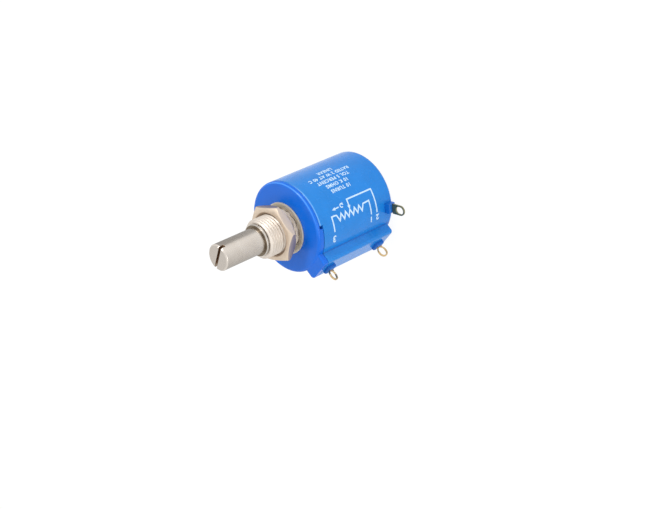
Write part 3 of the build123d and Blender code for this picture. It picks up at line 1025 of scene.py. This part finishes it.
def rolling_tree():
    kinds = {"Sheet": "Geometry", "Case radius": "Float", "Finish": "Material"}
    group, given = new_tree("roll_onto_case", "Print", **kinds)
    finer = add_node(group, "GeometryNodeSubdivideMesh", Mesh=given["Sheet"], Level=bend_divisions)
    x, y, z, reach = apart(group, add_node(group, "GeometryNodeInputPosition").outputs["Position"])
    angle = sums(group, "DIVIDE", product(group, y, -1.0), given["Case radius"])
    radius = sums(group, "ADD", z, given["Case radius"])
    side = product(group, radius, sums(group, "SINE", angle))
    up = product(group, product(group, radius, sums(group, "COSINE", angle)), -1.0)
    rolled = add_node(group, "ShaderNodeCombineXYZ", X=side, Y=up, Z=x).outputs["Vector"]
    moved = add_node(group, "GeometryNodeSetPosition", Geometry=finer.outputs["Mesh"], Position=rolled)
    return end_tree(group, given, moved.outputs["Geometry"])


bmesh.ops.recalc_face_normals(sketch, faces=sketch.faces)
for face in sketch.faces:
    if face.normal.z < 0:
        face.normal_flip()
sheet = add_object("print_work", mesh_of(sketch, "print_sheet"))
film = sheet.modifiers.new("film", "SOLIDIFY")
film.thickness = ink_thickness
film.offset = ink_offset
run_tree(sheet, rolling_tree(), Case_radius=case_radius, Finish=pale_ink.material)
case_print = plain_mesh(sheet, "case_print")
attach(case_print, "case")
print("case_print:", len(case_print.data.polygons), "faces")

# %% [markdown]
# The stage is a white floor under the case and a white world. For the camera and for reflections the
# floor glows softly with white and still takes a little light, so it stays white and yet keeps the
# shadow. For the light that it throws back onto the object it is an ordinary matt white surface.

# %% White floor
white_rays = ("Is Camera Ray", "Is Glossy Ray", "Is Transmission Ray")
floor_radius, floor_gap, floor_sides = 2.0, 0.01 * MM, 96
floor_glow, floor_faint, floor_matt = 0.91, 0.14, 0.8


def grey(level):
    return level, level, level, 1


def bare_material(name):
    """A material without its shader, and its tree."""
    material = bpy.data.materials.new(name)
    material.use_nodes = True
    material.node_tree.nodes.remove(material.node_tree.nodes["Principled BSDF"])
    return material, material.node_tree


def seen_or_lit(tree, seen, lit, output):
    """One shader for camera, mirror and glass rays, and another for the light that is thrown back."""
    path = add_node(tree, "ShaderNodeLightPath")
    directly = 0.0
    for ray in white_rays:
        directly = sums(tree, "MAXIMUM", path.outputs[ray], directly)
    choice = add_node(tree, "ShaderNodeMixShader", Fac=directly)
    feed(tree, choice.inputs[1], lit)
    feed(tree, choice.inputs[2], seen)
    feed(tree, tree.nodes[output].inputs["Surface"], choice.outputs["Shader"])


floor_shape = bmesh.new()
bmesh.ops.create_circle(floor_shape, cap_ends=True, segments=floor_sides, radius=floor_radius)
floor_mesh = mesh_of(floor_shape, "floor")
floor_mesh.transform(Matrix.Translation((0, 0, case_rear - floor_gap)))
floor = add_object("floor", floor_mesh)
floor_white, floor_tree = bare_material("floor_white")
glow = add_node(floor_tree, "ShaderNodeEmission", Color=grey(1), Strength=floor_glow)
faint = add_node(floor_tree, "ShaderNodeBsdfDiffuse", Color=grey(floor_faint))
matt = add_node(floor_tree, "ShaderNodeBsdfDiffuse", Color=grey(floor_matt))
shown = add_node(floor_tree, "ShaderNodeAddShader")
feed(floor_tree, shown.inputs[0], glow.outputs["Emission"])
feed(floor_tree, shown.inputs[1], faint.outputs["BSDF"])
seen_or_lit(floor_tree, shown.outputs["Shader"], matt.outputs["BSDF"], "Material Output")
floor_mesh.materials.append(floor_white)
print("floor at", round(case_rear / MM, 2), "mm")

# %% [markdown]
# Polished metal in an all-white room looks like paper. Photographers lay grey cards round it, just
# outside the picture, so that it has something to mirror. Here one flat ring lies on the floor. It is
# seen only in reflections, is white on the bright side, turns to grey quickly on one side and slowly on
# the other, and so gives the shaft a dark band along its back and a soft fall towards its front.

# %% Grey ring for the metal to mirror
card_tones = [(-180, 0.50), (-130, 0.62), (-85, 0.74), (-30, 0.90), (10, 1.08), (34, 1.08), (46, 0.88)]
card_tones += [(60, 0.42), (120, 0.42), (180, 0.50)]
brightest_tone = 2.0
card_near, card_far = 44 * MM, 250 * MM
card_height, card_sides = case_rear + 0.5 * MM, 72


def toned_ring(name, tones, near, far):
    """A flat ring on the floor whose glow is given at some directions, in degrees from +X."""
    finish, tree = bare_material(name)
    x, y, z, reach = apart(tree, add_node(tree, "ShaderNodeTexCoord").outputs["Object"])
    turn = sums(tree, "ADD", sums(tree, "DIVIDE", sums(tree, "ARCTAN2", y, x), 2 * pi), 0.5)
    tone = add_node(tree, "ShaderNodeFloatCurve", Value=turn)
    curve = tone.mapping.curves[0]
    while len(curve.points) < len(tones):
        curve.points.new(0.5, 0.5)
    for point, (angle, level) in zip(curve.points, tones):
        point.location = (angle / 360 + 0.5, level / brightest_tone)
        point.handle_type = "VECTOR"
    tone.mapping.update()
    strength = product(tree, tone.outputs["Value"], brightest_tone)
    glow = add_node(tree, "ShaderNodeEmission", Strength=strength)
    feed(tree, tree.nodes["Material Output"].inputs["Surface"], glow.outputs["Emission"])
    shape = bmesh.new()
    inner, outer = (
        [shape.verts.new(on_circle(radius, card_height, side, card_sides)) for side in range(card_sides)]
        for radius in (near, far)
    )
    for side in range(card_sides):
        after = (side + 1) % card_sides
        shape.faces.new((inner[side], outer[side], outer[after], inner[after]))
    card = add_object(name, mesh_of(shape, name))
    card.data.materials.append(finish)
    card.visible_camera = False
    card.visible_diffuse = False
    card.visible_shadow = False


toned_ring("grey_ring", card_tones, card_near, card_far)
print("grey ring from", round(card_near / MM), "to", round(card_far / MM), "mm")

# %% [markdown]
# The light is plain and soft. The world lights everything, a little more from the sides than from
# straight above. One large lamp on the bright side gives the round case its gradient, a second one fills
# the other side, and a small one near the camera draws a thin light line on each rounded edge. Together
# they are at the level where a colour renders about as it is written.

# %% World and lamps
level_light, top_light = 0.90, 0.74
world = bpy.data.worlds.new("studio")
bpy.context.scene.world = world
world.use_nodes = True
sky = world.node_tree
upwards = apart(sky, add_node(sky, "ShaderNodeTexCoord").outputs["Generated"])[2]
fade = add_node(sky, "ShaderNodeMapRange", Value=upwards, To_Min=level_light, To_Max=top_light)
soft = sky.nodes["Background"]
soft.inputs["Color"].default_value = grey(1)
feed(sky, soft.inputs["Strength"], fade.outputs["Result"])
backdrop = add_node(sky, "ShaderNodeBackground", Color=grey(1), Strength=1.0)
seen_or_lit(sky, backdrop.outputs["Background"], soft.outputs["Background"], "World Output")


def soft_lamp(name, place, size, power):
    """A square lamp that looks at the middle of the case."""
    lamp = bpy.data.lights.new(name, "AREA")
    lamp.size = size
    lamp.energy = power
    aim = Vector((0, 0, case_rear / 2)) - Vector(place)
    turned = aim.to_track_quat("-Z", "Y").to_matrix().to_4x4()
    add_object(name, lamp).matrix_world = Matrix.Translation(place) @ turned


soft_lamp("bright_side", place=(0.30, 0.22, 0.12), size=0.30, power=0.20)
soft_lamp("fill_side", place=(0.24, -0.32, 0.10), size=0.30, power=0.52)
soft_lamp("edge_light", place=(0.186, 0.222, 0.345), size=0.08, power=0.44)
print("world strength from", level_light, "at the sides to", top_light, "above")

# %% [markdown]
# The camera looks from a little above the side of the case and is rolled, so that the shaft points down
# to the left in the picture. It is given by the point that it aims at, its direction from there, its
# distance and its roll.

# %% Camera
camera_azimuth, camera_elevation, camera_roll = radians(73.27), radians(38.73), radians(-115.66)
camera_aim = Vector((-1.195, -10.207, -7.237)) * MM
camera_distance = 302.96 * MM
lens = bpy.data.cameras.new("camera")
lens.sensor_width = 36
lens.lens = 70.60
lens.clip_start = 0.01
level = cos(camera_elevation)
toward = Vector((sin(camera_azimuth) * level, -cos(camera_azimuth) * level, sin(camera_elevation)))
upright = toward.to_track_quat("Z", "Y").to_matrix().to_4x4()
spot = Matrix.Translation(camera_aim + toward * camera_distance)
camera = add_object("camera", lens)
camera.matrix_world = spot @ upright @ Matrix.Rotation(camera_roll, 4, "Z")
bpy.context.scene.camera = camera
bpy.context.scene.view_settings.view_transform = "Standard"
print("camera at", [round(value / MM, 1) for value in camera.matrix_world.translation])
